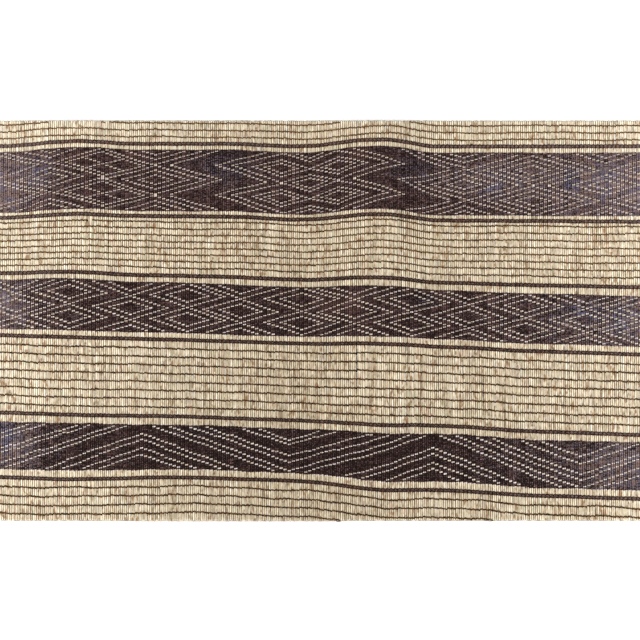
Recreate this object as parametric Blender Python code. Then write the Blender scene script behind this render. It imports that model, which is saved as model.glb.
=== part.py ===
"""A cut length of a twined reed and leather mat.

The reeds lie side by side along Y and are held in pairs by leather thongs that run across
them along X. The mat rests on a surface at Z = 0 and rises from it in a few soft ridges
that run along the reeds, because reeds are stiff and a mat bends only across them.

A place on the mat is given by x, across the reeds, and by its distance along them from the
far cut edge. Lines fan out a little, so each has one distance at the mat's left side and
another at its right side.
"""

import math

import bmesh
import bpy
import numpy as np

# The mat, in metres
PAIR_PITCH = 0.0051
PAIRS = 160
DEPTH = 0.5774
WIDTH = PAIRS * PAIR_PITCH
HALF_WIDTH = WIDTH / 2

# Heights above the underside of the mat
REED_CREST = 0.0032
REED_VALLEY = 0.0025
GAP = 0.00035
# A broad band has this gap under it, since its underside is straighter than the ground it lies on
BAND_GAP = 0.0007
LEATHER_CREST = 0.0010
LEATHER_VALLEY = 0.0004

# Leather lines
THIN_WIDTH = 0.0020
THIN_HEIGHT = 0.0009
BORDER_WIDTH = 0.0048
BORDER_TOP_WIDTH = 0.0034
BORDER_HEIGHT = 0.0010

# Where the mat rises, its cut edges lie nearer than on the flat by this share of the rise
EDGE_LEAN = 0.577
# A thong that runs off the mat stops this far from the cut edge
EDGE_MARGIN = 0.0016

# Rows of the ground: distance from the flat far edge at the left and at the right side
ROWS = (
    # name, left, right
    ("far edge", 0.0, 0.0),
    ("far band begins", 0.0453, 0.0465),
    ("far band ends", 0.1334, 0.1371),
    ("middle band begins", 0.2301, 0.2550),
    ("middle band ends", 0.3007, 0.3259),
    ("near band begins", 0.4355, 0.4672),
    ("near band ends", 0.5023, 0.5338),
    ("near edge", DEPTH, DEPTH),
)

# Soft ridges: where each starts, crests and ends across the mat, and its height at each row
RIDGES = (
    # name, left foot, crest from, crest to, right foot, heights at the rows
    ("left ridge", -0.400, -0.318, -0.312, -0.235, (0.0110, 0.0108, 0.0095, 0.0060, 0, 0, 0, 0)),
    ("left shoulder", -0.345, -0.240, -0.120, -0.030, (0.0065, 0.0065, 0.0070, 0.0030, 0, 0, 0, 0)),
    ("middle ridge", -0.024, 0.070, 0.080, 0.150, (0.0165, 0.0162, 0.0150, 0.0098, 0.0075, 0.0015, 0, 0)),
    ("near hump", -0.345, -0.150, -0.035, 0.095, (0, 0, 0, 0, 0.0010, 0.0065, 0.0150, 0.0190)),
    ("right swell", 0.075, 0.135, 0.170, 0.260, (0, 0, 0, 0.0010, 0.0035, 0.0055, 0.0055, 0.0055)),
)

# The ridges are straight between these numbers of pairs from the left side
BENDS = (
    0, 5, 9, 13, 17, 21, 25, 30, 36, 44, 52, 62, 72,
    79, 84, 88, 92, 96, 100, 104, 109, 116, 124, 132, 160,
)

# Broad bands lie between two of the rows above
BANDS = (
    # name, row where it begins
    ("band_far", 1),
    ("band_middle", 3),
    ("band_near", 5),
)

# Border lines: distance from the far edge at the left and at the right side
BORDERS = (
    # name, left, right
    ("border_1", 0.0370, 0.0371),
    ("border_2", 0.1413, 0.1469),
    ("border_3", 0.2213, 0.2425),
    ("border_4", 0.3108, 0.3393),
    ("border_5", 0.4219, 0.4551),
    ("border_6", 0.5144, 0.5467),
)

# Sets of evenly spread thin lines: their first and last line at the left and right side
THIN_SETS = (
    # name, lines, first left, first right, last left, last right
    ("line_a", 3, 0.0068, 0.0066, 0.0270, 0.0273),
    ("line_b", 8, 0.1497, 0.1543, 0.2109, 0.2292),
    ("line_c", 8, 0.3235, 0.3535, 0.4088, 0.4414),
    ("line_d", 4, 0.5271, 0.5598, 0.5649, 0.5992),
)

# Colours as red, green, blue, and roughness
REED = ((0.58, 0.48, 0.33), 0.55)
BAND_LEATHER = ((0.055, 0.036, 0.034), 0.50)
BORDER_LEATHER = ((0.075, 0.035, 0.022), 0.55)
THIN_LEATHER = ((0.12, 0.065, 0.036), 0.60)


def clear_scene():
    for thing in list(bpy.data.objects):
        bpy.data.objects.remove(thing, do_unlink=True)


def finish(name, colour, roughness):
    material = bpy.data.materials.new(name)
    material.use_nodes = True
    shader = material.node_tree.nodes["Principled BSDF"]
    shader.inputs["Base Color"].default_value = (*colour, 1.0)
    shader.inputs["Roughness"].default_value = roughness
    shader.inputs["Metallic"].default_value = 0.0
    return material


def pair_side(pairs):
    """The x of the valley after this many pairs, counted from the left side."""
    return -HALF_WIDTH + pairs * PAIR_PITCH


BEND_X = tuple(pair_side(pairs) for pairs in BENDS)


def slope(start, end, x):
    """A soft climb from 0 at start to 1 at end."""
    share = min(max((x - start) / (end - start), 0.0), 1.0)
    return 0.5 - 0.5 * math.cos(math.pi * share)


def ridge_shape(left_foot, crest_from, crest_to, right_foot, x):
    return slope(left_foot, crest_from, x) * (1.0 - slope(crest_to, right_foot, x))


RIDGE_AT_BENDS = [[ridge_shape(*ridge[1:5], x) for x in BEND_X] for ridge in RIDGES]


def ridge_heights(x):
    """The rise of the mat's underside at each row."""
    shapes = [np.interp(x, BEND_X, at_bends) for at_bends in RIDGE_AT_BENDS]
    return sum(shape * np.array(ridge[5]) for shape, ridge in zip(shapes, RIDGES))


def along_at(left, right, x):
    """A line's distance from the far edge, at this x."""
    return left + (right - left) * (x + HALF_WIDTH) / WIDTH


def rows_at(x):
    """Each row's distance from the flat far edge; the two cut edges lie nearer where the mat rises."""
    heights = ridge_heights(x)
    rows = [along_at(left, right, x) for _, left, right in ROWS]
    rows[0] += EDGE_LEAN * heights[0]
    rows[-1] += EDGE_LEAN * heights[-1]
    return rows


def rise(x, along):
    """How far the underside of the mat is above the surface."""
    return float(np.interp(along, rows_at(x), ridge_heights(x)))


NEAR_REACH = max(rows_at(x)[-1] for x in BEND_X)
FAR_Y = NEAR_REACH / 2


def point(x, along, height):
    """A point of the mat at this height above its underside."""
    return (x, FAR_Y - along, rise(x, along) + height)


def add_object(name, mesh_builder, material):
    bmesh.ops.recalc_face_normals(mesh_builder, faces=mesh_builder.faces)
    mesh = bpy.data.meshes.new(name)
    mesh_builder.to_mesh(mesh)
    mesh_builder.free()
    mesh.materials.append(material)
    thing = bpy.data.objects.new(name, mesh)
    bpy.context.scene.collection.objects.link(thing)
    return thing


def ribbed_solid(name, first_row, last_row, bottom, crest, valley, material):
    """A sheet between two rows, with one raised rib for each pair of reeds and a plain underside."""
    builder = bmesh.new()
    steps = range(2 * PAIRS + 1)
    top_grid = []
    low_grid = []
    for row in range(first_row, last_row + 1):
        top = []
        for step in steps:
            x = pair_side(step / 2)
            top.append(builder.verts.new(point(x, rows_at(x)[row], crest if step % 2 else valley)))
        top_grid.append(top)
        low_grid.append([builder.verts.new(point(x, rows_at(x)[row], bottom)) for x in BEND_X])
    for far, near in zip(top_grid, top_grid[1:]):
        for step in range(2 * PAIRS):
            builder.faces.new((far[step], near[step], near[step + 1], far[step + 1]))
    for far, near in zip(low_grid, low_grid[1:]):
        for span in range(len(BENDS) - 1):
            builder.faces.new((far[span], far[span + 1], near[span + 1], near[span]))
    for top, low in ((top_grid[0], low_grid[0]), (top_grid[-1], low_grid[-1])):
        for span, (start, end) in enumerate(zip(BENDS, BENDS[1:])):
            builder.faces.new((low[span + 1], low[span], *top[2 * start:2 * end + 1]))
    for side in (0, -1):
        for row in range(len(top_grid) - 1):
            builder.faces.new((
                top_grid[row][side], top_grid[row + 1][side], low_grid[row + 1][side], low_grid[row][side],
            ))
    return add_object(name, builder, material)


def strip(name, left, right, section, material, start=-HALF_WIDTH, end=HALF_WIDTH):
    """A thong across the mat. Its section is (distance along the reeds, height) pairs."""
    builder = bmesh.new()
    bends = [start, *(x for x in BEND_X if start < x < end), end]
    rings = []
    for x in bends:
        middle = along_at(left, right, x)
        base = REED_CREST + GAP
        rings.append([builder.verts.new(point(x, middle + offset, base + up)) for offset, up in section])
    sides = len(section)
    for ring, following in zip(rings, rings[1:]):
        for side in range(sides):
            after = (side + 1) % sides
            builder.faces.new((ring[side], ring[after], following[after], following[side]))
    builder.faces.new(rings[0])
    builder.faces.new(rings[-1])
    return add_object(name, builder, material)


THIN_SECTION = ((-THIN_WIDTH / 2, 0.0), (THIN_WIDTH / 2, 0.0), (0.0, THIN_HEIGHT))
BORDER_SECTION = (
    (-BORDER_WIDTH / 2, 0.0),
    (BORDER_WIDTH / 2, 0.0),
    (BORDER_TOP_WIDTH / 2, BORDER_HEIGHT),
    (-BORDER_TOP_WIDTH / 2, BORDER_HEIGHT),
)


def on_mat(left, right, x):
    """Whether a thin line is clear of both cut edges at this x."""
    along = along_at(left, right, x)
    rows = rows_at(x)
    return rows[0] + EDGE_MARGIN < along < rows[-1] - EDGE_MARGIN


def stretches(left, right):
    """Where a thin line stays on the mat: the start and end of each stretch, to the nearest pair."""
    found = []
    start = None
    for pairs in range(PAIRS + 1):
        x = pair_side(pairs)
        if on_mat(left, right, x):
            if start is None:
                start = x
            end = x
        elif start is not None:
            found.append((start, end))
            start = None
    if start is not None:
        found.append((start, end))
    return found


def thin_lines(material):
    for set_name, count, first_left, first_right, last_left, last_right in THIN_SETS:
        for number in range(count):
            share = number / (count - 1)
            left = first_left + share * (last_left - first_left)
            right = first_right + share * (last_right - first_right)
            found = stretches(left, right)
            for part, (start, end) in enumerate(found):
                name = f"{set_name}{number + 1}"
                if len(found) > 1:
                    name += f"_part_{part + 1}"
                strip(name, left, right, THIN_SECTION, material, start, end)


def main():
    clear_scene()
    band_leather = finish("band_leather", *BAND_LEATHER)
    border_leather = finish("border_leather", *BORDER_LEATHER)
    ribbed_solid("reed_ground", 0, len(ROWS) - 1, 0.0, REED_CREST, REED_VALLEY, finish("reed", *REED))
    under = REED_CREST + BAND_GAP
    for name, row in BANDS:
        ribbed_solid(name, row, row + 1, under, under + LEATHER_CREST, under + LEATHER_VALLEY, band_leather)
    for name, left, right in BORDERS:
        strip(name, left, right, BORDER_SECTION, border_leather)
    thin_lines(finish("thin_leather", *THIN_LEATHER))


main()
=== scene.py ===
# %% [markdown]
# # A reed and leather rug, thong by thong
#
# The real rug is a mat of straight cream reeds that lie side by side. Leather thongs run across
# them and hold them in pairs: a thong goes over a pair, dives between it and the next pair, and
# is packed close to its neighbours where a dark band is wanted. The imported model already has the
# right size and the soft ridges, so this script only dresses it: every reed, every stitch of
# leather, and the finish of both.

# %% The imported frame
import math

import bmesh
import bpy
import numpy as np
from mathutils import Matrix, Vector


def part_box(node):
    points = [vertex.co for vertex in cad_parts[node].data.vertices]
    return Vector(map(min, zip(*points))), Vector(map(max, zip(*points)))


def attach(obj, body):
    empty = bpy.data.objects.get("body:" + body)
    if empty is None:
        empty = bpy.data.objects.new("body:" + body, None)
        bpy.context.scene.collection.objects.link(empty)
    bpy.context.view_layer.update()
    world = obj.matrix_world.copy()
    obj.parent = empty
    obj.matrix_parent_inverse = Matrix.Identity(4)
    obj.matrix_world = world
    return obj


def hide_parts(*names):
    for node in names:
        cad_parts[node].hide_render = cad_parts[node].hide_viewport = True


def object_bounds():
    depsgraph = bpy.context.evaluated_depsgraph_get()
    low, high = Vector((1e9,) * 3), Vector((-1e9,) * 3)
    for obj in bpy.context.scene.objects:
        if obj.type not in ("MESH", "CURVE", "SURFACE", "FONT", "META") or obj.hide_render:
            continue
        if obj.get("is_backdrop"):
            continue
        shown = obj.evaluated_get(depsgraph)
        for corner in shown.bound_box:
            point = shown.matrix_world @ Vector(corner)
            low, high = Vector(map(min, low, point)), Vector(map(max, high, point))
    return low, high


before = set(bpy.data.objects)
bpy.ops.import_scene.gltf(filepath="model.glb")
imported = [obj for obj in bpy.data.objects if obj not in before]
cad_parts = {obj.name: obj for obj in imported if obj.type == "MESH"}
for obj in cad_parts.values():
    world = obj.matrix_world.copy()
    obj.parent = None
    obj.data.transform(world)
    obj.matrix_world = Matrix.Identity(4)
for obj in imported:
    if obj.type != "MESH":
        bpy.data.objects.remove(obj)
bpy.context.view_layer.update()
bpy.ops.object.select_all(action="DESELECT")

# %% [markdown]
# These are the sizes that the model was made from, in metres. A place on the mat is given by
# x, across the reeds, and by its distance along them from the far cut edge. Lines fan out a
# little, so each has one distance at the left side and another at the right side.

# %% Sizes of the mat
PAIR_PITCH = 0.0051
PAIRS = 160
WIDTH = PAIRS * PAIR_PITCH
HALF_WIDTH = WIDTH / 2
DEPTH = 0.5774
REED_CREST = 0.0032
EDGE_LEAN = 0.577

ROWS = (
    # name, left, right
    ("far edge", 0.0, 0.0),
    ("far band begins", 0.0453, 0.0465),
    ("far band ends", 0.1334, 0.1371),
    ("middle band begins", 0.2301, 0.2550),
    ("middle band ends", 0.3007, 0.3259),
    ("near band begins", 0.4355, 0.4672),
    ("near band ends", 0.5023, 0.5338),
    ("near edge", DEPTH, DEPTH),
)
RIDGES = (
    # name, left foot, crest from, crest to, right foot, heights at the rows
    ("left ridge", -0.400, -0.318, -0.312, -0.235,
     (0.0110, 0.0108, 0.0095, 0.0060, 0, 0, 0, 0)),
    ("left shoulder", -0.345, -0.240, -0.120, -0.030,
     (0.0065, 0.0065, 0.0070, 0.0030, 0, 0, 0, 0)),
    ("middle ridge", -0.024, 0.070, 0.080, 0.150,
     (0.0165, 0.0162, 0.0150, 0.0098, 0.0075, 0.0015, 0, 0)),
    ("near hump", -0.345, -0.150, -0.035, 0.095,
     (0, 0, 0, 0, 0.0010, 0.0065, 0.0150, 0.0190)),
    ("right swell", 0.075, 0.135, 0.170, 0.260,
     (0, 0, 0, 0.0010, 0.0035, 0.0055, 0.0055, 0.0055)),
)
print("mat:", round(WIDTH, 3), "m across the reeds and", DEPTH, "m along them on the flat")

# %% [markdown]
# Reeds are stiff, so a mat bends only across them and its ridges run along the reeds. The rise
# of the mat is worked out for whole arrays of places at once, because hundreds of thousands of
# corners ask for it. Between two rows the rise is straight, and taking it at three places a
# little apart rounds the corner at each row.

# %% The rise of the mat
ROUNDING = 0.012


def slope(start, end, x):
    """A soft climb from 0 at start to 1 at end."""
    share = np.clip((x - start) / (end - start), 0.0, 1.0)
    return 0.5 - 0.5 * np.cos(np.pi * share)


def ridge_heights(x):
    """The rise at each row, for an array of x."""
    total = 0.0
    for _, left_foot, crest_from, crest_to, right_foot, heights in RIDGES:
        shape = slope(left_foot, crest_from, x) * (1.0 - slope(crest_to, right_foot, x))
        total = total + np.multiply.outer(np.array(heights, float), shape)
    return total


def along_at(left, right, x):
    """A line's distance from the far edge, at this x."""
    return left + (right - left) * (x + HALF_WIDTH) / WIDTH


def rows_at(x, heights):
    """Each row's distance from the flat far edge; a cut edge lies nearer where the mat rises."""
    rows = [along_at(left, right, x) for _, left, right in ROWS]
    rows[0] = rows[0] + EDGE_LEAN * heights[0]
    rows[-1] = rows[-1] + EDGE_LEAN * heights[-1]
    return rows


def rise(x, along):
    """How far the underside of the mat is above the floor."""
    x, along = np.broadcast_arrays(x, along)
    heights = ridge_heights(x)
    rows = rows_at(x, heights)
    total = 0.0
    for offset, weight in ((-ROUNDING, 0.25), (0.0, 0.5), (ROUNDING, 0.25)):
        height = heights[0]
        for row in range(len(ROWS) - 1):
            share = (along + offset - rows[row]) / (rows[row + 1] - rows[row])
            height = height + np.clip(share, 0.0, 1.0) * (heights[row + 1] - heights[row])
        total = total + weight * height
    return total


FAR_Y = float(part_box("reed_ground")[1].y)


def on_mat(x, along, height):
    """Points of the mat at this height above its underside."""
    x, along, height = np.broadcast_arrays(x, along, height)
    return np.stack([x, FAR_Y - along, rise(x, along) + height], axis=-1)


check_x = np.linspace(-HALF_WIDTH, HALF_WIDTH, PAIRS + 1)[:, None]
print("highest rise:", round(float(rise(check_x, np.linspace(0, DEPTH, 60)).max()), 4))

# %% [markdown]
# The photograph looks down on the mat from about 60 degrees, square to its lines, and the mat
# runs off both sides of the picture. A long lens far away keeps the lines parallel. A wide soft
# light in front and above falls evenly, and a smaller one on the left catches one side of each
# reed and so draws the reeds apart.

# %% Camera and light
PICTURE_WIDTH = 0.800
CAMERA_DISTANCE = 20.0
CAMERA_ELEVATION = math.radians(60.0)
SENSOR = 36.0
# The picture's middle is this much nearer than the mat's, and this high above the floor
AIM_NEARER = 0.0019
AIM_HEIGHT = 0.0035
AIM = (0.0, FAR_Y - DEPTH / 2 - AIM_NEARER, AIM_HEIGHT)
ROOM_COLOUR = (1.0, 0.99, 0.97, 1.0)
ROOM_STRENGTH = 0.48


def add_camera():
    back = (0.0, -math.cos(CAMERA_ELEVATION), math.sin(CAMERA_ELEVATION))
    place = [aim + CAMERA_DISTANCE * step for aim, step in zip(AIM, back)]
    bpy.ops.object.camera_add(location=place, rotation=(math.pi / 2 - CAMERA_ELEVATION, 0.0, 0.0))
    camera = bpy.context.object
    camera.data.sensor_width = SENSOR
    camera.data.lens = SENSOR * CAMERA_DISTANCE / PICTURE_WIDTH
    camera.data.clip_start = 0.1
    camera.data.clip_end = 100.0
    bpy.context.scene.camera = camera


def add_softbox(name, place, size, power):
    bpy.ops.object.light_add(type="AREA", location=place)
    light = bpy.context.object
    light.name = name
    light.data.shape = "SQUARE"
    light.data.size = size
    light.data.energy = power
    light.rotation_euler = (-light.location).to_track_quat("-Z", "Y").to_euler()


add_camera()
add_softbox("front_light", place=(0.4, -7.7, 9.2), size=8.0, power=2150.0)
add_softbox("side_light", place=(-6.4, -1.8, 4.2), size=2.0, power=320.0)
world = bpy.data.worlds.new("studio")
world.use_nodes = True
room_light = world.node_tree.nodes["Background"]
room_light.inputs["Color"].default_value = ROOM_COLOUR
room_light.inputs["Strength"].default_value = ROOM_STRENGTH
bpy.context.scene.world = world
bpy.context.scene.view_settings.view_transform = "Standard"
lens = bpy.context.scene.camera.data.lens
print("camera", CAMERA_DISTANCE, "m away, lens", round(lens), "mm")

# %% [markdown]
# Finishes are made of nodes. One small class wraps a node's output, so that a finish can be
# written as sums and products: each operator adds a Math node, and one method adds the others.

# %% A small language for finishes


class Wire:
    """An output of a node, which Python's own operators can work with."""

    def __init__(self, tree, socket):
        self.tree = tree
        self.socket = socket

    def node(self, kind, settings=None, **inputs):
        """Adds a node. An input's name has _ for a space, or is a number, such as n0."""
        made = self.tree.nodes.new(kind)
        for setting, value in (settings or {}).items():
            if setting == "stops":
                set_stops(made.color_ramp, value)
            else:
                setattr(made, setting, value)
        for name, value in inputs.items():
            key = int(name[1:]) if name[1:].isdigit() else name.replace("_", " ")
            if isinstance(value, Wire):
                self.tree.links.new(value.socket, made.inputs[key])
            else:
                made.inputs[key].default_value = value
        return made

    def out(self, kind, output, settings=None, **inputs):
        """Adds a node and gives one of its outputs."""
        return Wire(self.tree, self.node(kind, settings, **inputs).outputs[output])

    def math(self, operation, first, second):
        return self.out("ShaderNodeMath", 0, {"operation": operation}, n0=first, n1=second)

    def __add__(self, other):
        return self.math("ADD", self, other)

    def __radd__(self, other):
        return self.math("ADD", other, self)

    def __sub__(self, other):
        return self.math("SUBTRACT", self, other)

    def __rsub__(self, other):
        return self.math("SUBTRACT", other, self)

    def __mul__(self, other):
        return self.math("MULTIPLY", self, other)

    def __rmul__(self, other):
        return self.math("MULTIPLY", other, self)

    def between(self, low, high):
        """0 below low, 1 above high, and soft in between."""
        settings = {"interpolation_type": "SMOOTHSTEP"}
        return self.out("ShaderNodeMapRange", 0, settings, Value=self, From_Min=low, From_Max=high)

    def mixed(self, other, share, blend="MIX"):
        """This colour, with a share of another one mixed in, or of itself times the other one."""
        settings = {"data_type": "RGBA", "blend_type": blend}
        return self.out("ShaderNodeMix", 2, settings, n0=share, n6=self, n7=other)

    def stops(self, *stops):
        """A colour for this value, from (value, colour) stops."""
        return self.out("ShaderNodeValToRGB", 0, {"stops": stops}, Fac=self)


def set_stops(ramp, stops):
    while len(ramp.elements) < len(stops):
        ramp.elements.new(0.5)
    for element, (place, colour) in zip(ramp.elements, stops):
        element.position = place
        element.color = (*colour, 1.0)


def new_finish(name):
    """A material, its surface node, a wire to start from and the piece's own coordinates."""
    material = bpy.data.materials.new(name)
    material.use_nodes = True
    tree = material.node_tree
    surface = tree.nodes["Principled BSDF"]
    start = Wire(tree, None)
    place = start.out("ShaderNodeTexCoord", "Object")
    return material, surface, start, place


def connect(surface, **inputs):
    for name, wire in inputs.items():
        wire.tree.links.new(wire.socket, surface.inputs[name.replace("_", " ")])


def grain(place, scale, detail=2.0, roughness=0.5):
    """Noise stretched by a scale for each axis, in cells a metre."""
    scaled = place.out("ShaderNodeMapping", 0, Vector=place, Scale=scale)
    return place.out(
        "ShaderNodeTexNoise", 0, {"noise_dimensions": "3D"},
        Vector=scaled, Scale=1.0, Detail=detail, Roughness=roughness,
    )


def bump(height, strength, distance):
    return height.out("ShaderNodeBump", 0, Strength=strength, Distance=distance, Height=height)


def piece_value(start, name):
    """A number that the piece carries at its corners."""
    return start.out("ShaderNodeAttribute", "Fac", {"attribute_name": name})


print("finishes can be written as sums of values")

# %% [markdown]
# A dry reed is pale cream on its crest, with fine streaks along it, and painted shade darkens it
# towards its sides, where it meets the next reed. Some stretches are greenish, pinkish or grey.
# Short ochre smudges lie in clusters, and brown marks sit where leaves once grew. Where a reed
# shows between the stitches of a band, it is a small pale dash with a painted shadow round it.
# Painted shade also lies in the grooves between pairs, and darkens the middle of the mat, its
# near end and a ridge on the left.
#
# The streaks come from noise that is stretched along the reeds. The tone of each reed and its
# leaf marks are numbers that the mesh carries, because only the mesh knows where one reed ends
# and the next begins.

# %% The colours of the reeds
REED_STOPS = (
    # value, colour
    (0.00, (0.150, 0.098, 0.060)),
    (0.25, (0.370, 0.280, 0.190)),
    (0.50, (0.695, 0.588, 0.418)),
    (0.75, (0.862, 0.778, 0.602)),
    (1.00, (0.970, 0.920, 0.820)),
)
DASH_STOPS = ((0.42, (0.77, 0.65, 0.53)), (0.58, (0.73, 0.65, 0.73)))
GREENISH = (0.50, 0.48, 0.33, 1.0)
PINKISH = (0.64, 0.46, 0.35, 1.0)
GREYISH = (0.60, 0.55, 0.48, 1.0)
SMUDGE_OCHRE = (0.33, 0.18, 0.075, 1.0)
LEAF_MARK_BROWN = (0.16, 0.080, 0.035, 1.0)
# painted shade on the sides of each reed, where it meets the next one
REED_SIDE_SHADE = (0.100, 0.054, 0.026, 1.0)
# painted shade over the middle of the mat, towards its near end and on a ridge on the left
PAINTED_SHADE_TINT = (0.50, 0.47, 0.42, 1.0)
DASH_SHADE = (0.20, 0.130, 0.095, 1.0)
# painted shade in the grooves between pairs and round the dashes in the bands
REED_GROOVE_SHADE = (0.026, 0.014, 0.009, 1.0)
print("a reed's colour runs from", REED_STOPS[0][1], "to", REED_STOPS[-1][1])


# %% The finish of the reeds
def add_patches(colour, place, grey):
    """Greenish, pinkish and greyish patches, each longer along the reed than across it."""
    green = grain(place, (310.0, 62.0, 60.0), detail=1.0)
    pink = grain(place, (260.0, 50.0, 50.0), detail=1.0)
    colour = colour.mixed(GREENISH, green.between(0.52, 0.68) * 0.50)
    colour = colour.mixed(PINKISH, pink.between(0.54, 0.70) * 0.45)
    return colour.mixed(GREYISH, grey.between(0.50, 0.68) * 0.40)


def make_reed_finish():
    material, surface, start, place = new_finish("dry_reed")
    surface.inputs["Specular IOR Level"].default_value = 0.25
    tone, flank, outer, mark, fresh, wear, painted_shade_share = [
        piece_value(start, name)
        for name in ("tone", "flank", "outer", "mark", "fresh", "wear", "trodden")
    ]
    bare = 1.0 - fresh
    streak = grain(place, (700.0, 75.0, 640.0), detail=3.0, roughness=0.65)
    patch = grain(place, (410.0, 110.0, 60.0))
    grey = grain(place, (90.0, 70.0, 60.0))
    smudge = grain(place, (360.0, 92.0, 200.0), detail=1.0) + (grey - 0.5) * 0.35
    # how dark the painted shade between the reeds is, along them
    gap_shade = grain(place, (196.0, 105.0, 10.0)).between(0.36, 0.62)
    warmth = grain(place, (190.0, 300.0, 20.0), detail=1.0)
    shade = grain(place, (200.0, 520.0, 20.0), detail=1.0).between(0.36, 0.62)

    value = tone + (streak - 0.5) * 1.2 + (patch - 0.5) * 0.9 + fresh * (0.29 + wear * 0.34)
    colour = add_patches(value.stops(*REED_STOPS), place, grey)
    colour = colour.mixed(SMUDGE_OCHRE, smudge.between(0.60, 0.70) * bare * 0.85)
    colour = colour.mixed(LEAF_MARK_BROWN, mark * (0.6 + smudge * 0.5))
    # painted shade down the sides of each reed, coming and going along it
    colour = colour.mixed(REED_SIDE_SHADE, flank.between(0.10, 0.75) * (0.35 + gap_shade * 0.62))
    # painted shade, most in the middle, towards the near edge and on a ridge
    colour = colour.mixed(PAINTED_SHADE_TINT, painted_shade_share * (1.0 - fresh * 0.4), "MULTIPLY")
    colour = colour.mixed(warmth.stops(*DASH_STOPS), fresh * 0.52)
    colour = colour.mixed(DASH_SHADE, fresh * (0.02 + shade * 0.52))
    # painted shade in the grooves between pairs, and round each dash in a band
    groove = outer.between(0.36, 0.90) * gap_shade * bare * 0.40 + outer.between(0.10, 0.60) * fresh
    colour = colour.mixed(REED_GROOVE_SHADE, groove)
    roughness = 0.42 + streak * 0.25 + mark * 0.15
    height = bump(streak, strength=0.30, distance=0.0003)
    connect(surface, Base_Color=colour, Roughness=roughness, Normal=height)
    return material


REED_FINISH = make_reed_finish()
print("reed finish:", len(REED_FINISH.node_tree.nodes), "nodes")

# %% [markdown]
# The leather is dyed very dark. Where feet and sun have worn it, and where a painted sheen lies
# on it, strongest towards both sides of the mat, it turns a grey that is brownish in one spot and
# bluish in the next, and here and there old red-brown shows. Each stitch has its own tone, and its
# places of wear and sheen, of red and of blue are numbers at its corners. The grain is fine noise,
# in colour and as bump. Between two stitches painted shade makes it darkest.

# %% The finish of the leather
BLUE_TINT = (0.84, 0.98, 1.20, 1.0)
# painted shade between two stitches
LEATHER_GROOVE_SHADE = (0.006, 0.003, 0.002, 1.0)


def make_leather_finish(name, dark, light, worn_and_sheen_brown, worn_and_sheen_blue, red):
    material, surface, start, place = new_finish(name)
    surface.inputs["Specular IOR Level"].default_value = 0.10
    tone, wear, stain, blue, groove = [
        piece_value(start, number) for number in ("tone", "wear", "stain", "blue", "groove")
    ]
    pores = grain(place, (2200.0, 2200.0, 2200.0), detail=3.0)
    mottle = grain(place, (620.0, 640.0, 620.0))
    cloud = grain(place, (60.0, 130.0, 60.0), detail=3.0)
    hue = grain(place, (165.0, 110.0, 60.0), detail=3.0)
    # painted shade: darker towards the grooves between stitches
    value = tone + (0.35 - groove) * 0.5 + (mottle - 0.5) * 2.7 + (pores - 0.5) * 0.4
    colour = value.stops((0.0, dark), (0.9, light))
    # grey of real wear and of painted sheen
    dust_and_sheen = wear + (cloud - 0.5) * 0.45 + (mottle - 0.5) * 1.8
    worn = hue.stops((0.40, worn_and_sheen_brown), (0.60, worn_and_sheen_blue))
    colour = colour.mixed(worn, dust_and_sheen.between(0.08, 0.95) * (1.0 - groove) * 0.92)
    colour = colour.mixed((*red, 1.0), (stain + (cloud - 0.5) * 0.3).between(0.1, 1.0) * 0.75)
    colour = colour.mixed(
        BLUE_TINT, (blue + (cloud - 0.5) * 0.8).between(0.05, 0.80), "MULTIPLY",
    )
    # painted shade in the grooves between stitches
    colour = colour.mixed(LEATHER_GROOVE_SHADE, groove.between(0.15, 0.90) * 0.93)
    roughness = 0.62 + pores * 0.20 - dust_and_sheen * 0.10
    height = bump(pores, strength=0.4, distance=0.0002)
    connect(surface, Base_Color=colour, Roughness=roughness, Normal=height)
    return material


BAND_FINISH = make_leather_finish(
    "band_leather_worn",
    dark=(0.008, 0.003, 0.002), light=(0.118, 0.064, 0.060),
    worn_and_sheen_brown=(0.336, 0.232, 0.200), worn_and_sheen_blue=(0.236, 0.200, 0.252), red=(0.150, 0.066, 0.054),
)
BORDER_FINISH = make_leather_finish(
    "border_leather_worn",
    dark=(0.012, 0.005, 0.004), light=(0.072, 0.033, 0.022),
    worn_and_sheen_brown=(0.155, 0.098, 0.076), worn_and_sheen_blue=(0.130, 0.094, 0.096), red=(0.120, 0.045, 0.020),
)
THIN_FINISH = make_leather_finish(
    "thin_leather_worn",
    dark=(0.014, 0.006, 0.002), light=(0.115, 0.054, 0.018),
    worn_and_sheen_brown=(0.200, 0.120, 0.052), worn_and_sheen_blue=(0.160, 0.110, 0.060), red=(0.140, 0.055, 0.018),
)
print("leather finishes:", BAND_FINISH.name, BORDER_FINISH.name, THIN_FINISH.name)

# %% [markdown]
# Reeds and stitches come in hundreds and thousands, so each is modelled once as a small shape.
# Its corners are then laid out again for every copy, each with its own place, size and lean.
# All copies of one kind become one joined mesh.

# %% Modelling a small shape once
def select_where(kind, wanted):
    """In edit mode, selects just the "verts" or the "edges" that pass a test."""
    builder = bmesh.from_edit_mesh(bpy.context.object.data)
    bpy.context.tool_settings.mesh_select_mode = (kind == "verts", kind == "edges", False)
    bpy.ops.mesh.select_all(action="DESELECT")
    for part in getattr(builder, kind):
        part.select = wanted(part)
    builder.select_flush_mode()
    bmesh.update_edit_mesh(bpy.context.object.data)


def turn_shape(angle, axis):
    """In edit mode, turns what is selected about an axis of the scene."""
    bpy.ops.transform.rotate(
        value=angle, orient_axis=axis, orient_type="GLOBAL", center_override=(0.0, 0.0, 0.0),
    )


def read_shape(axis):
    """Takes the shape out of the scene: its corners, the faces' corners, face sizes, round or not.

    The shape is round about this axis, and only its two ends are flat.
    """
    thing = bpy.context.object
    corners = np.array([vertex.co for vertex in thing.data.vertices])
    loops = np.array([loop.vertex_index for loop in thing.data.loops])
    sizes = np.array([face.loop_total for face in thing.data.polygons])
    is_round = np.array([abs(face.normal[axis]) < 0.95 for face in thing.data.polygons])
    bpy.data.objects.remove(thing, do_unlink=True)
    return corners, loops, sizes, is_round


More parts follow.
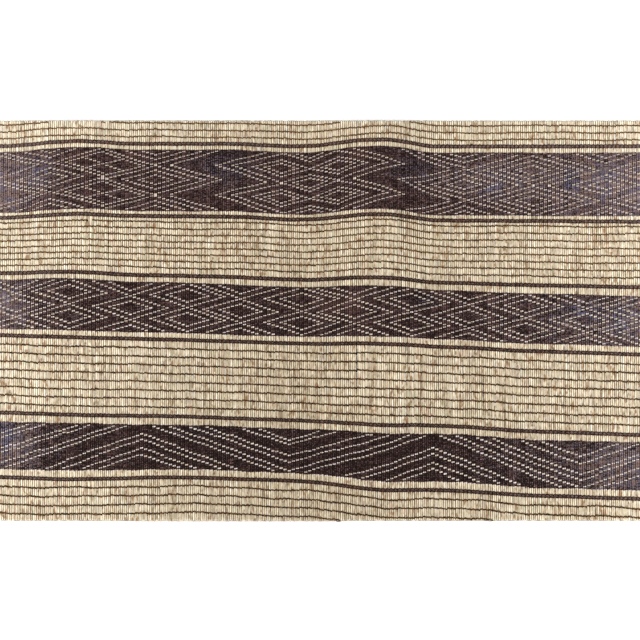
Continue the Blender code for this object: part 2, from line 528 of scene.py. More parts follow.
def lay_out(name, corners, shape, material, **numbers):
    """One joined mesh from the corners of every copy, with numbers that its corners carry."""
    _, loops, sizes, is_round = shape
    copies, count = corners.shape[:2]
    mesh = bpy.data.meshes.new(name)
    mesh.vertices.add(copies * count)
    mesh.vertices.foreach_set("co", corners.astype(np.float32).ravel())
    all_loops = (loops[None, :] + count * np.arange(copies)[:, None]).ravel()
    mesh.loops.add(all_loops.size)
    mesh.loops.foreach_set("vertex_index", all_loops.astype(np.int32))
    all_sizes = np.tile(sizes, copies)
    mesh.polygons.add(all_sizes.size)
    mesh.polygons.foreach_set("loop_start", (np.cumsum(all_sizes) - all_sizes).astype(np.int32))
    mesh.update(calc_edges=True)
    mesh.polygons.foreach_set("use_smooth", np.tile(is_round, copies))
    for number, values in numbers.items():
        layer = mesh.attributes.new(number, "FLOAT", "POINT")
        values = np.asarray(values, float)
        if values.ndim == 1 and len(values) == copies:
            values = values[:, None]
        spread = np.broadcast_to(values, (copies, count))
        layer.data.foreach_set("value", spread.astype(np.float32).ravel())
    mesh.materials.append(material)
    thing = bpy.data.objects.new(name, mesh)
    bpy.context.scene.collection.objects.link(thing)
    print(f"{name}: {copies} copies, {(all_sizes - 2).sum()} triangles")
    return thing


print("shapes can be laid out many times")

# %% [markdown]
# Leather wears unevenly, so its grey places, partly wear and partly painted sheen, and its
# red-brown and blue-black places are listed like notes in a condition report, and each reed and
# stitch asks how deep it lies in them.

# %% Worn, red and blue places
# places of real wear and of painted sheen
WORN_AND_SHEEN_PLACES = (
    # x, distance from the far edge, half width, half length, how strong
    (-0.400, 0.090, 0.060, 0.060, 0.55),
    (-0.120, 0.085, 0.045, 0.030, 0.30),
    (0.110, 0.095, 0.040, 0.050, 0.14),
    (0.200, 0.080, 0.070, 0.040, 0.42),
    (0.400, 0.095, 0.150, 0.060, 0.55),
    (-0.400, 0.265, 0.045, 0.050, 0.50),
    (0.270, 0.290, 0.080, 0.050, 0.18),
    (0.400, 0.290, 0.090, 0.050, 0.38),
    (-0.400, 0.470, 0.060, 0.050, 0.50),
    (0.250, 0.490, 0.090, 0.050, 0.20),
    (0.400, 0.500, 0.080, 0.050, 0.54),
)
RED_PLACES = (
    (-0.300, 0.058, 0.020, 0.010, 0.35),
    (-0.238, 0.054, 0.016, 0.012, 0.40),
    (0.050, 0.056, 0.020, 0.012, 0.50),
    (-0.330, 0.070, 0.030, 0.020, 0.25),
    (0.020, 0.270, 0.060, 0.030, 0.35),
)
BLUE_PLACES = (
    (-0.119, 0.066, 0.045, 0.026, 0.85),
    (-0.353, 0.080, 0.020, 0.030, 0.60),
    (0.115, 0.075, 0.030, 0.028, 0.70),
    (0.218, 0.102, 0.012, 0.018, 0.80),
    (0.315, 0.085, 0.014, 0.022, 0.90),
    (0.360, 0.085, 0.012, 0.020, 0.70),
    (0.324, 0.277, 0.028, 0.014, 0.95),
    (0.375, 0.290, 0.016, 0.030, 0.60),
    (0.128, 0.262, 0.020, 0.014, 0.80),
    (-0.390, 0.455, 0.020, 0.022, 0.75),
    (-0.148, 0.452, 0.028, 0.014, 0.75),
)


def bell(value, middle, width):
    return np.exp(-(((value - middle) / width) ** 2))


def depth_in(places, x, along):
    """How deep a place lies in the listed ones, from 0 outside them."""
    total = 0.0
    for middle_x, middle_along, half_width, half_length, strength in places:
        across = strength * bell(x, middle_x, half_width)
        total = total + across * bell(along, middle_along, half_length)
    return total


print(len(WORN_AND_SHEEN_PLACES), "worn,", len(RED_PLACES), "red and", len(BLUE_PLACES), "blue places")

# %% [markdown]
# ## The reeds
#
# A reed is a round stem with a slight swelling where a leaf grew. It starts as a cylinder along
# Y that is cut into short lengths, so that it can follow the ridges. In the layout each reed
# gets its own thickness, and a pair shares its room unevenly. Rings of corners crowd around the
# leaf marks, where the reed swells and darkens, and at the edges of the bands, where it goes
# under the leather and keeps a fresher colour.

# %% One reed
REED_SIDES = 8
REED_LENGTHS = 36


def model_reed():
    bpy.ops.mesh.primitive_cylinder_add(vertices=REED_SIDES, radius=1.0, depth=1.0)
    bpy.ops.object.mode_set(mode="EDIT")
    select_where("edges", lambda edge: abs(edge.verts[0].co.z - edge.verts[1].co.z) > 0.5)
    bpy.ops.mesh.subdivide(number_cuts=REED_LENGTHS - 1)
    bpy.ops.mesh.select_all(action="SELECT")
    turn_shape(math.pi / 2, "X")
    bpy.ops.object.mode_set(mode="OBJECT")
    return read_shape(axis=1)


REED_SHAPE = model_reed()
REED_CORNERS = REED_SHAPE[0]
REED_RING = np.rint((0.5 - REED_CORNERS[:, 1]) * REED_LENGTHS).astype(int)
print("one reed:", len(REED_CORNERS), "corners,", len(REED_SHAPE[2]), "faces")

# %% Where the bands begin and end
BAND_LIFT = 0.0003
BAND_FADE = 0.0010
SETBACK = 0.0013
BAND_SPANS = (
    # name, begins at the left and right side, ends at the left and right side
    ("band_far", 0.0453, 0.0465, 0.1340, 0.1391),
    ("band_middle", 0.2301, 0.2550, 0.3015, 0.3279),
    ("band_near", 0.4345, 0.4662, 0.5023, 0.5349),
)


def band_edges(x):
    """Where each band begins and ends, as distances from the far edge."""
    return [
        (along_at(far_left, far_right, x) + SETBACK, along_at(near_left, near_right, x) + SETBACK)
        for _, far_left, far_right, near_left, near_right in BAND_SPANS
    ]


def in_band(x, along):
    """1 inside the broad bands, fading to 0 at their edges."""
    total = 0.0
    for begins, ends in band_edges(x):
        inside = slope(-BAND_FADE, BAND_FADE, along - begins)
        total = total + inside * (1.0 - slope(-BAND_FADE, BAND_FADE, along - ends))
    return total


def band_edge_rings(x):
    """Distances from the far edge just before and just after each edge of a band."""
    edges = [edge for band in band_edges(x) for edge in band]
    return np.stack([edge + step for edge in edges for step in (-BAND_FADE, BAND_FADE)], axis=-1)


def sides(x):
    """0 in the middle of the mat, and 1 at its left and right side."""
    return np.clip(np.abs(x) / HALF_WIDTH, 0.0, 1.0) ** 2


def trodden(x, along):
    """How much painted shade a place gets: most in the middle, at the near edge and on a ridge."""
    left_ridge = bell(x, -0.33, 0.13) * bell(along, 0.18, 0.05)
    return 0.44 * (1.0 - sides(x)) + 0.24 * along / DEPTH + 0.12 * left_ridge


print("bands and their edges:", [span[0] for span in BAND_SPANS])

# %% Rings and partings of the reeds
RANDOM = np.random.default_rng(7)
REEDS = 2 * PAIRS
END_TRIM = 0.0006
END_RINGS = (0.003, 0.997)
LEAF_MARKS = 3
LEAF_MARK_HALF = 0.008
PARTED_WIDTH = 0.004
PARTED_REEDS = (
    # pairs from the left side, middle along the reeds, half length, how far the reeds part
    (81.5, 0.330, 0.012, 0.0007),
    (89.0, 0.352, 0.022, 0.0008),
    (120.0, 0.395, 0.014, 0.0005),
    (28.0, 0.180, 0.012, 0.0005),
    (136.5, 0.190, 0.016, 0.0005),
)


def place_rings(middle):
    """For each reed, its rings' distances from the far edge and how strong their leaf marks are."""
    heights = ridge_heights(middle)
    begins = EDGE_LEAN * heights[0] + RANDOM.uniform(0.0, END_TRIM, REEDS)
    ends = DEPTH + EDGE_LEAN * heights[-1] - RANDOM.uniform(0.0, END_TRIM, REEDS)
    begins, length = begins[:, None], (ends - begins)[:, None]
    edges = (band_edge_rings(middle) - begins) / length
    even_rings = REED_LENGTHS + 1 - 3 * LEAF_MARKS - len(END_RINGS) - edges.shape[1]
    even = np.concatenate([np.linspace(0.0, 1.0, even_rings), END_RINGS])
    even = np.tile(even, (REEDS, 1))
    marks = np.arange(LEAF_MARKS) + RANDOM.uniform(0.1, 0.9, (REEDS, LEAF_MARKS))
    marks = np.clip(marks / LEAF_MARKS, 0.02, 0.98)
    strength = RANDOM.uniform(0.0, 1.0, marks.shape) ** 1.5
    before, after = marks - LEAF_MARK_HALF, marks + LEAF_MARK_HALF
    stations = np.concatenate([even, edges, before, marks, after], axis=1)
    marked = np.concatenate([0 * even, 0 * edges, 0 * marks, strength, 0 * marks], axis=1)
    order = np.argsort(stations, axis=1)
    stations = np.take_along_axis(stations, order, axis=1)
    return begins + stations * length, np.take_along_axis(marked, order, axis=1)


def part_reeds(line_x, along):
    """Pushes a few neighbouring reeds apart."""
    for pairs, parted_along, half_length, parting in PARTED_REEDS:
        away = line_x - (-HALF_WIDTH + pairs * PAIR_PITCH)
        push = np.sign(away) * parting * bell(away, 0.0, PARTED_WIDTH)
        line_x = line_x + push * bell(along, parted_along, half_length)
    return line_x


print("each reed has", REED_LENGTHS + 1, "rings, and", len(PARTED_REEDS), "gaps show between reeds")

# %% All the reeds
REED_BOTTOM = 0.00085
REED_HALF_HEIGHT = 0.00112
SIDE_MARGIN = 0.001
REED_WANDER = 0.00010
LEAF_SWELLING = 0.07
# The reeds between the stitches of the far bands are greyer, most of all in the middle
FAR_DIMMING = 0.62
MIDDLE_DIMMING = 0.12


def lay_reeds():
    pair = np.repeat(np.arange(PAIRS), 2)
    side = np.tile([-1.0, 1.0], PAIRS)
    share = np.repeat(RANDOM.uniform(0.41, 0.59, PAIRS), 2)
    share = np.where(side < 0, share, 1.0 - share)
    room = PAIR_PITCH * RANDOM.uniform(0.985, 1.025, REEDS) * share
    in_pair = np.where(side < 0, share / 2, 1.0 - share / 2)
    middle = -HALF_WIDTH + pair * PAIR_PITCH + PAIR_PITCH * in_pair
    half_height = REED_HALF_HEIGHT * RANDOM.uniform(0.92, 1.04, REEDS)

    along, marked = place_rings(middle)
    waves = RANDOM.uniform(20, 60, (REEDS, 1))
    phase = RANDOM.uniform(0, 6.3, (REEDS, 1))
    line_x = middle[:, None] + REED_WANDER * np.sin(along * waves + phase)
    line_x = part_reeds(line_x, along)
    line_x = np.clip(line_x, -HALF_WIDTH + SIDE_MARGIN, HALF_WIDTH - SIDE_MARGIN)

    fresh = in_band(line_x, along)
    thinner = np.clip(RANDOM.normal(-0.02, 0.09, marked.shape), 0.0, 0.22)
    swelling = 1.0 + LEAF_SWELLING * marked - thinner
    across = REED_CORNERS[None, :, 0] * (room / 2)[:, None] * swelling[:, REED_RING]
    up = REED_CORNERS[None, :, 2] * half_height[:, None] * swelling[:, REED_RING]
    height = REED_BOTTOM + REED_HALF_HEIGHT + up + BAND_LIFT * fresh[:, REED_RING]
    corners = on_mat(line_x[:, REED_RING] + across, along[:, REED_RING], height)

    reed_tone = RANDOM.normal(0.56, 0.05, (REEDS, 1))
    ring_tone = RANDOM.normal(0.0, 0.10, marked.shape)
    far_share = 1.0 - along / DEPTH
    dimmed = FAR_DIMMING * far_share ** 2 + MIDDLE_DIMMING * (1.0 - sides(line_x)) * far_share
    tone = np.clip(reed_tone + ring_tone - fresh * dimmed, 0.02, 0.98)
    return lay_out(
        "reeds", corners, REED_SHAPE, REED_FINISH,
        tone=tone[:, REED_RING],
        mark=marked[:, REED_RING],
        fresh=fresh[:, REED_RING],
        wear=depth_in(WORN_AND_SHEEN_PLACES, line_x, along)[:, REED_RING],
        trodden=trodden(line_x, along)[:, REED_RING],
        flank=1.0 - np.clip(REED_CORNERS[None, :, 2], 0.0, 1.0),
        outer=np.clip(REED_CORNERS[None, :, 0] * side[:, None], 0.0, 1.0),
    )


reeds = lay_reeds()

# %% [markdown]
# ## The leather
#
# One stitch of leather lies over one pair of reeds: it rises out of the groove on the left,
# crosses the two crests and dives into the next groove. It starts as a short bar along X with
# a flat side down. Three cuts give it five rings, and the outer rings are pressed down and
# drawn in, so that a row reads as one thong that goes in and out. The thin lines and the
# borders use a four-sided bar, and the broad bands a three-sided one, because they have
# many thousands of stitches.

# %% One stitch
CRESTS = 0.26


def model_stitch(
    corner_count, turn, reach, end_drop, end_width, middle_rise, cuts=(-CRESTS, 0.0, CRESTS),
):
    """A stitch of unit length, width and thickness, with its underside at zero at the crests."""
    origin = (0.0, 0.0, 0.0)
    bpy.ops.mesh.primitive_cylinder_add(vertices=corner_count, radius=0.5, depth=1.0)
    bpy.ops.object.mode_set(mode="EDIT")
    bpy.ops.mesh.select_all(action="SELECT")
    turn_shape(turn, "Z")
    turn_shape(math.pi / 2, "Y")
    builder = bmesh.from_edit_mesh(bpy.context.object.data)
    section = np.array([vertex.co for vertex in builder.verts])
    width, thickness = np.ptp(section[:, 1]), np.ptp(section[:, 2])
    bpy.ops.transform.translate(value=(0.0, 0.0, -section[:, 2].min()))
    bpy.ops.transform.resize(value=(1.0, 1.0 / width, 1.0 / thickness), center_override=origin)
    for cut in cuts:
        bpy.ops.mesh.select_all(action="SELECT")
        bpy.ops.mesh.bisect(plane_co=(cut, 0.0, 0.0), plane_no=(1.0, 0.0, 0.0))
    select_where("verts", lambda corner: abs(corner.co.x) > 0.4)
    bpy.ops.transform.resize(value=(reach, end_width, 0.8), center_override=origin)
    bpy.ops.transform.translate(value=(0.0, 0.0, -end_drop))
    select_where("verts", lambda corner: abs(corner.co.x) < 0.1)
    bpy.ops.transform.translate(value=(0.0, 0.0, middle_rise))
    bpy.ops.object.mode_set(mode="OBJECT")
    return read_shape(axis=0)


THONG_SHAPE = model_stitch(
    4, math.pi / 4, reach=1.02, end_drop=1.0, end_width=0.70, middle_rise=0.12,
)
ROW_SHAPE = model_stitch(
    3, math.pi / 2, reach=1.16, end_drop=1.0, end_width=0.95, middle_rise=-0.30,
)
for shape_name, shape in (("thong stitch", THONG_SHAPE), ("band stitch", ROW_SHAPE)):
    low, high = shape[0].min(axis=0), shape[0].max(axis=0)
    print(shape_name, len(shape[0]), "corners, from", np.round(low, 2), "to", np.round(high, 2))

# %% Laying stitches along a line
def pair_x(pair):
    """The middle of each pair."""
    return -HALF_WIDTH + (pair + 0.5) * PAIR_PITCH


def all_places(lines):
    """The line and the pair of every stitch of some lines."""
    return np.divmod(np.arange(lines * PAIRS), PAIRS)


def spread_lines(first_left, first_right, last_left, last_right, share):
    """Both ends of each line that lies at some share of the way from a first to a last one."""
    return [
        first + share * (last - first)
        for first, last in ((first_left, last_left), (first_right, last_right))
    ]


def stitch_corners(shape, *where):
    """Corners of a stitch over each pair, on lines given by their distances at both sides."""
    place = shape[0]
    where = [np.asarray(value, float)[:, None] for value in np.broadcast_arrays(*where)]
    pair, left, right, width, thickness, lean, base = where
    x = np.clip(pair_x(pair) + place[:, 0] * PAIR_PITCH, -HALF_WIDTH, HALF_WIDTH)
    along = along_at(left, right, x) + SETBACK - place[:, 1] * width + place[:, 0] * lean
    height = base + place[:, 2] * thickness
    return on_mat(x, along, height)


def groove_depth(shape, middle):
    """0 on the crests of a stitch, 1 at its ends between two pairs, and a value for its middle."""
    from_middle = np.abs(shape[0][:, 0])
    return np.interp(from_middle, (0.0, CRESTS, 0.5), (middle, 0.0, 1.0))[None, :]


def wander(count, size, seed):
    """A slow hand-made drift along a line, one value a pair for each of several lines."""
    draw = np.random.default_rng(seed)
    pairs = np.arange(PAIRS)
    total = np.zeros((count, PAIRS))
    for waves in (2, 5, 11, 23):
        phase = draw.uniform(0, 2 * np.pi, (count, 1))
        swing = np.sin(2 * np.pi * waves * pairs / PAIRS + phase)
        total += draw.normal(0, size, (count, 1)) * swing
    return total


def stitch_numbers(pair, left, right, tone, draw):
    """Tone, wear, red stain and blue for each stitch."""
    x = pair_x(pair)
    along = along_at(left, right, x)
    spread = draw.normal(0, 0.14, x.shape)
    # real wear, and painted sheen that grows towards both sides of the mat
    wear = depth_in(WORN_AND_SHEEN_PLACES, x, along) + 0.27 * sides(x) - 0.10
    return {
        "tone": np.clip(tone + spread - 0.13 * (1.0 - sides(x)), 0.0, 1.0),
        "wear": wear + draw.normal(0, 0.10, x.shape),
        "stain": depth_in(RED_PLACES, x, along),
        "blue": depth_in(BLUE_PLACES, x, along),
    }


def lay_stitches(name, shape, material, numbers, *where):
    """Stitches in one joined mesh, with painted shade in their grooves. Packed ones also have a
    groove between the two reeds.
    """
    groove = groove_depth(shape, 0.0)
    if shape is ROW_SHAPE:
        groove = groove_depth(shape, 0.60) * (1.30 - numbers["tone"][:, None])
    corners = stitch_corners(shape, *where)
    return lay_out(name, corners, shape, material, groove=groove, **numbers)


print("a stitch at the left side lies at x =", round(pair_x(0), 4))

# %% [markdown]
# ## The thin lines
#
# A thin line is two narrow thongs twined around each other: each stitch leans a little, one
# way all along, so the line looks like a fine rope. Lines that run off a cut edge stop there.
# The back of the mat has the other thong of the twine, a plainer stitch below the reeds.

# %% Thin lines
THIN_SETS = (
    # name, lines, first left, first right, last left, last right
    ("line_a", 3, 0.0068, 0.0066, 0.0270, 0.0273),
    ("line_b", 8, 0.1497, 0.1543, 0.2109, 0.2292),
    ("line_c", 8, 0.3235, 0.3535, 0.4088, 0.4414),
    ("line_d", 4, 0.5271, 0.5598, 0.5649, 0.5992),
)
THIN_LOOKS = {
    # name: width, tone of the outer lines, and how much paler the middle lines are
    "line_a": (0.0017, 0.86, 0.00),
    "line_b": (0.0018, 0.45, 0.27),
    "line_c": (0.0021, 0.28, 0.14),
    "line_d": (0.0022, 0.32, 0.00),
}
THIN_THICKNESS = 0.0008
THIN_LEAN = 0.0008
THONG_BASE = REED_CREST - 0.0001
EDGE_MARGIN = 0.0016
BACK_THICKNESS = 0.00070
BACK_BASE = 0.00085
# How far a whole set, a line and a stitch stray, and how far every second stitch is set over
SET_DRIFT = 0.00032
LINE_DRIFT = 0.00018
STITCH_DRIFT = 0.00020
TWINE_OFFSET = 0.00015
# A stitch is missing here: set, line, pair
LINE_BREAK = ("line_b", 0, 23)


def within_mat(pair, left, right):
    """Whether each stitch is clear of both cut edges."""
    x = pair_x(pair)
    rows = rows_at(x, ridge_heights(x))
    along = along_at(left, right, x)
    return (along > rows[0] + EDGE_MARGIN) & (along < rows[-1] - EDGE_MARGIN)


def back_shape():
    """A plain bar with three rings for the back of the mat."""
    corners, *faces = model_stitch(
        3, math.pi / 2, reach=1.0, end_drop=-0.15, end_width=0.9, middle_rise=0.12, cuts=(0.0,),
    )
    # turned upside down, so the corners of its faces are listed the other way round
    return corners * np.array([1.0, 1.0, -1.0]), *[part[::-1].copy() for part in faces]


BACK_SHAPE = back_shape()


def lay_piece(name, shape, material, front, back):
    """A piece of leather in one mesh: the stitches in front and the plain ones at the back."""
    piece = lay_stitches(name + "_front", shape, material, *front)
    other = lay_stitches(name + "_back", BACK_SHAPE, material, *back)
    bpy.ops.object.select_all(action="DESELECT")
    piece.select_set(True)
    other.select_set(True)
    bpy.context.view_layer.objects.active = piece
    bpy.ops.object.join()
    bpy.ops.object.select_all(action="DESELECT")
    piece.name = piece.data.name = name + "_thongs"
    return piece


def lay_thin_set(number, name, count, *ends):
    draw = np.random.default_rng(100 + number)
    line_width, outer_tone, paler = THIN_LOOKS[name]
    line, pair = all_places(count)
    share = line / (count - 1)
    drift = wander(1, SET_DRIFT, 250 + number)[0][pair]
    drift = drift + wander(count, LINE_DRIFT, 200 + number).ravel()
    drift = drift + draw.normal(0, STITCH_DRIFT, line.size)
    drift += np.where(pair % 2 == 0, TWINE_OFFSET, -TWINE_OFFSET)
    left, right = [end + drift for end in spread_lines(*ends, share)]
    kept = within_mat(pair, left, right)
    if name == LINE_BREAK[0]:
        kept &= (line != LINE_BREAK[1]) | (pair != LINE_BREAK[2])
    pair, left, right = pair[kept], left[kept], right[kept]
    tone = outer_tone + paler * np.sin(np.pi * share[kept])
    width = line_width * draw.uniform(0.75, 1.15, pair.size)
    thickness = THIN_THICKNESS * draw.uniform(0.85, 1.2, pair.size)
    numbers = stitch_numbers(pair, left, right, tone, draw)
    return lay_piece(
        name, THONG_SHAPE, THIN_FINISH,
        (numbers, pair, left, right, width, thickness, THIN_LEAN, THONG_BASE),
        (numbers, pair, left, right, line_width, BACK_THICKNESS, -THIN_LEAN, BACK_BASE),
    )


thin_pieces = [lay_thin_set(number, *thin_set) for number, thin_set in enumerate(THIN_SETS)]

# %% [markdown]
# ## The border lines
#
# A border line of three packed thongs lies on both sides of each band. Its middle thong is
# paler than the outer two. The far borders are the most worn, and each one has redder stretches
# of its own.

# %% Border lines
BORDERS = (
    # name, left, right
    ("border_1", 0.0370, 0.0371),
    ("border_2", 0.1413, 0.1469),
    ("border_3", 0.2213, 0.2425),
    ("border_4", 0.3108, 0.3393),
    ("border_5", 0.4219, 0.4551),
    ("border_6", 0.5144, 0.5467),
)
BORDER_ROWS = 3
BORDER_ROW_PITCH = 0.00178
BORDER_THICKNESS = 0.00085
BORDER_LEAN = 0.0006
BORDER_DRIFT = 0.00012
RED_STRETCHES = 0.16
# How pale the far border is, and how much of that is left at each next one
FAR_PALENESS = 1.3
PALENESS_LEFT = 0.45


def lay_border(number, name, left, right):
    draw = np.random.default_rng(300 + number)
    row, pair = all_places(BORDER_ROWS)
    drift = wander(1, BORDER_DRIFT, 400 + number)[0][pair]
    offset = (row - (BORDER_ROWS - 1) / 2) * BORDER_ROW_PITCH + drift
    width = BORDER_ROW_PITCH * draw.uniform(0.95, 1.15, row.size)
    thickness = BORDER_THICKNESS * draw.uniform(0.85, 1.15, row.size)
    lean = np.where(row % 2 == 0, BORDER_LEAN, -BORDER_LEAN)
    side = sides(pair_x(pair))
    heart = row == 1
    pale = FAR_PALENESS * PALENESS_LEFT ** number - 0.20 * (1.0 - side)
    red = np.clip(wander(1, RED_STRETCHES, 500 + number)[0], 0, 1)[pair]
    tone = np.where(heart, 0.42, 0.12) + 0.25 * pale
    numbers = stitch_numbers(pair, left, right, tone, draw)
    # more painted sheen towards both sides of the mat, as well as wear
    numbers["wear"] = numbers["wear"] * 0.5 + np.where(heart, 0.36, 0.0) + 0.10 * side + 0.15 * pale
    numbers["stain"] = numbers["stain"] + red * (1.0 - 0.6 * side)
    left, right = left + offset, right + offset
    back_numbers = {key: value[heart] for key, value in numbers.items()}
    back_width = BORDER_ROWS * BORDER_ROW_PITCH
    return lay_piece(
        name, THONG_SHAPE, BORDER_FINISH,
        (numbers, pair, left, right, width, thickness, lean, THONG_BASE),
        (back_numbers, pair[heart], left[heart], right[heart],
         back_width, BACK_THICKNESS, 0.0, BACK_BASE),
    )


border_pieces = [lay_border(number, *border) for number, border in enumerate(BORDERS)]

# %% [markdown]
# ## The broad bands
#
# In a band the thongs are packed with no reed showing, except where a thong passes below a pair
# and leaves a cream dash. The dashes make nested lozenges in the far and middle bands and a
# zigzag in the near one. Such patterns grow by counting: from one thong to the next the dash
# moves over by one pair. So each pattern is a rule on two counts, pairs from the left side and
# thongs from the band's far side, and a lozenge is every place at the same sum of counts from
# its middle.

# %% Patterns counted in pairs and thongs
def empty_chart(rows):
    """No dashes yet, and the middle of each place in pairs from the left and thongs from far."""
    pair, row = np.arange(PAIRS)[None, :] + 0.5, np.arange(rows)[:, None] + 0.5
    return np.zeros((rows, PAIRS), bool), pair, row


def outline_dashes(rows, figures, reach=math.inf):
    """Dashes of nested lozenges. Wide outlines keep to a reach above and below their middle."""
    dashes, pair, row = empty_chart(rows)
    for middle_pair, middle_row, left_outlines, right_outlines in figures:
        across, up = np.abs(pair - middle_pair), np.abs(row - middle_row)
        away = np.floor(across + up + 0.501)
        halves = ((left_outlines, pair <= middle_pair), (right_outlines, pair >= middle_pair))
        for outlines, half in halves:
            for outline in outlines:
                dashes |= (away == outline) & half & ((up <= reach) | (outline <= reach + 1))
    return dashes


def figures_at(*groups):
    """A figure at each middle pair and each middle thong of a group."""
    return [
        (pair, row, left_outlines, right_outlines)
        for pairs, rows, left_outlines, right_outlines in groups
        for pair in pairs
        for row in rows
    ]


def crosses(rows, middles, reach):
    """Dashes of small crosses."""
    dashes, pair, row = empty_chart(rows)
    for middle_pair, middle_row in middles:
        across, up = np.abs(pair - middle_pair), np.abs(row - middle_row)
        dashes |= (np.floor(across - up + 0.501) == 0) & (across < reach)
    return dashes


FAR_ROWS = 52
FAR_REACH = 12.6
FAR_FIGURES = figures_at(
    # middle pairs, middle thongs, outlines to their left, outlines to their right
    ((13.5,), (-0.5, 24.5, 50.5), (4, 8), (4, 8)),
    ((0.5,), (12.5, 36.5), (), (10, 13)),
    ((26.5,), (12.5, 37.5), (9, 12), ()),
    ((26.5,), (13.5, 38.5), (), (10, 13)),
    ((39.5,), (0.5, 25.5, 51.5), (4, 8), (4, 8, 12, 16)),
    ((70.5,), (13.5, 38.5), (4, 7, 12, 16), (4, 7)),
    ((77.5,), (0.5, 25.5, 51.5), (4, 7), (4, 7)),
    ((84.5,), (13.5, 38.5), (4, 7), (4, 7, 12, 16)),
    ((115.5,), (0.5, 26.5, 52.5), (4, 8, 12, 16), (4, 8)),
    ((132.5,), (14.5, 39.5), (4, 8, 12, 16), (4, 8, 12, 16)),
    ((150.5,), (0.5, 26.5, 52.5), (4, 8), (4, 8)),
    ((167.5,), (14.5, 39.5), (12, 16), ()),
)
FAR_CROSSES = ((26.5, 13.5), (26.5, 38.5))
CROSS_REACH = 5.5
FAR_LOST = [(0.5, 12.5, (), (13,))]
MIDDLE_ROWS = 38
MIDDLE_FIGURES = figures_at(
    ((5.5, 33.5, 60.5, 88.5, 116.5, 145.5), (1.5, 19.5, 37.5), (5, 9), (5, 9)),
    ((18.5, 47.5, 75.5, 102.5, 130.5, 158.5), (9.5, 27.5), (5, 9), (5, 9)),
)
NEAR_ROWS = 32
ZIGZAG_TURNS = (0.0, 36.5, 72.5, 107.5, 143.5, 160.0)
ZIGZAG_LINES = (
    # the thong that a line passes at each turn, counted on past the band where it leaves the band
    (9.5, -25.5, 8.0, -25.0, 10.5, -6.5),
    (13.0, -21.5, 11.5, -21.0, 15.0, -1.5),
    (20.0, -13.0, 19.7, -13.0, 22.4, 5.5),
    (23.0, -10.5, 24.5, -9.0, 26.2, 9.0),
    (30.0, -5.0, 30.0, -4.0, 31.5, 15.5),
    (33.5, -2.0, 34.2, -0.3, 35.5, 20.0),
    (44.0, 6.5, 44.5, 9.4, 46.0, 30.0),
    (48.0, 10.8, 48.0, 13.3, 51.0, 36.0),
    (53.0, 16.9, 53.5, 19.5, 56.0, 41.0),
    (56.5, 21.0, 59.0, 23.8, 62.0, 46.0),
)


def zigzags(rows):
    """Dashes of lines that climb or fall by about one thong a pair and turn at the same pairs."""
    dashes, pair, row = empty_chart(rows)
    for line in ZIGZAG_LINES:
        dashes |= np.floor(np.interp(pair, ZIGZAG_TURNS, line)) == np.floor(row)
    return dashes


far_dashes = outline_dashes(FAR_ROWS, FAR_FIGURES, FAR_REACH)
far_dashes |= crosses(FAR_ROWS, FAR_CROSSES, CROSS_REACH)
# The near half of the first figure's outline has worn away
lost = outline_dashes(FAR_ROWS, FAR_LOST, FAR_REACH)
lost[:FAR_ROWS // 4] = False
far_dashes &= ~lost
middle_dashes = outline_dashes(MIDDLE_ROWS, MIDDLE_FIGURES)
near_dashes = zigzags(NEAR_ROWS)
for chart_name, chart in (("far", far_dashes), ("middle", middle_dashes), ("near", near_dashes)):
    chart[[0, -1]] = False
    print(chart_name, "band:", chart.size, "places,", int(chart.sum()), "dashes")

# %% The bands
ROW_THICKNESS = 0.00078
BAND_LEAN = 0.42
# Thongs beside a climbing line of dashes are this much wider, so that its dashes are slender
CLIMB_SPREAD = 0.25
BACK_ROWS_PITCH = 0.0105
BAND_DRIFT = 0.00025
PAIR_TONE = 0.06
# Each band's dashes and tone
BAND_LOOKS = ((far_dashes, 0.36), (middle_dashes, 0.27), (near_dashes, 0.15))


def moved(chart, down, across):
    """The same chart, moved by up to one thong and one pair."""
    rows, pairs = chart.shape
    wide = np.pad(chart, 1)
    return wide[1 - down:1 - down + rows, 1 - across:1 - across + pairs]


def beside_climb(dashes):
    """The places just above and below dashes whose line climbs to the right."""
    climb = dashes & (moved(dashes, 1, -1) | moved(dashes, -1, 1))
    climb &= ~(moved(dashes, 1, 1) | moved(dashes, -1, -1))
    return moved(climb, 1, 0) | moved(climb, -1, 0)


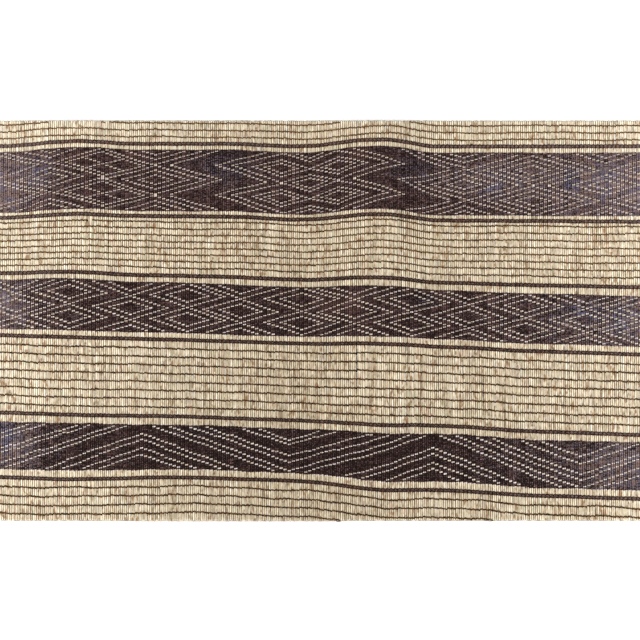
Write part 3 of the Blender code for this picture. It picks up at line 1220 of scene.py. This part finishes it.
def lay_band(number, span, dashes, tone):
    draw = np.random.default_rng(600 + number)
    rows = dashes.shape[0]
    name, *ends = span
    row, pair = np.nonzero(~dashes)
    drift = wander(1, BAND_DRIFT, 700 + number)[0][pair]
    left, right = [end + drift for end in spread_lines(*ends, (row + 0.5) / rows)]
    band_width = ends[2] - ends[0]
    pitch = band_width / rows
    wider = CLIMB_SPREAD * beside_climb(dashes)[row, pair]
    width = pitch * (draw.uniform(1.02, 1.16, row.size) + wider)
    thickness = ROW_THICKNESS * draw.uniform(0.8, 1.15, row.size)
    lean = -BAND_LEAN * pitch * draw.uniform(0.7, 1.3, row.size)
    pair_tone = draw.normal(0, PAIR_TONE, PAIRS)[pair]
    numbers = stitch_numbers(pair, left, right, tone + pair_tone, draw)
    front = (numbers, pair, left, right, width, thickness, lean, REED_CREST + BAND_LIFT)

    back_rows = round(band_width / BACK_ROWS_PITCH)
    row, pair = all_places(back_rows)
    left, right = spread_lines(*ends, (row + 0.5) / back_rows)
    numbers = stitch_numbers(pair, left, right, tone, draw)
    width = band_width / back_rows
    back = (numbers, pair, left, right, width, BACK_THICKNESS, 0.0, BACK_BASE)
    return lay_piece(name, ROW_SHAPE, BAND_FINISH, front, back)


band_pieces = [
    lay_band(number, span, *looks)
    for number, (span, looks) in enumerate(zip(BAND_SPANS, BAND_LOOKS))
]

# %% [markdown]
# ## The floor and the bodies
#
# The floor is plain white. Every piece rides on the one body, and the plain solids that it stands
# for are hidden. The reeds stand for the reed ground, with the leather on it.

# %% The floor
bpy.ops.mesh.primitive_plane_add(size=8.0, location=(0.0, 0.0, 0.0))
floor = bpy.context.object
floor.name = "floor"
floor_finish, floor_surface, _, floor_place = new_finish("white_floor")
floor_noise = grain(floor_place, (3.0, 3.0, 3.0))
floor_colour = floor_noise.stops((0.0, (0.93, 0.93, 0.93)), (1.0, (0.96, 0.96, 0.96)))
connect(floor_surface, Base_Color=floor_colour)
floor_surface.inputs["Roughness"].default_value = 0.8
floor.data.materials.append(floor_finish)
floor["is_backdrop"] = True

# %% Bodies and hidden parts
SHOWN_FOR = (
    # pieces, the table that begins with their nodes' first letters, slot
    (thin_pieces, THIN_SETS, "thin_leather"),
    (border_pieces, BORDERS, "border_leather"),
    (band_pieces, BAND_SPANS, "band_leather"),
)
node_names = sorted(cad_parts)
for pieces, table, slot_name in SHOWN_FOR:
    for piece, (stem, *_) in zip(pieces, table):
        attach(piece, "root")
        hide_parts(*[node for node in node_names if node.startswith(stem)])
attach(reeds, "root")
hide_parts("reed_ground")

# %% Size and end
low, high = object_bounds()
print("visual box", [round(value, 4) for value in high - low])
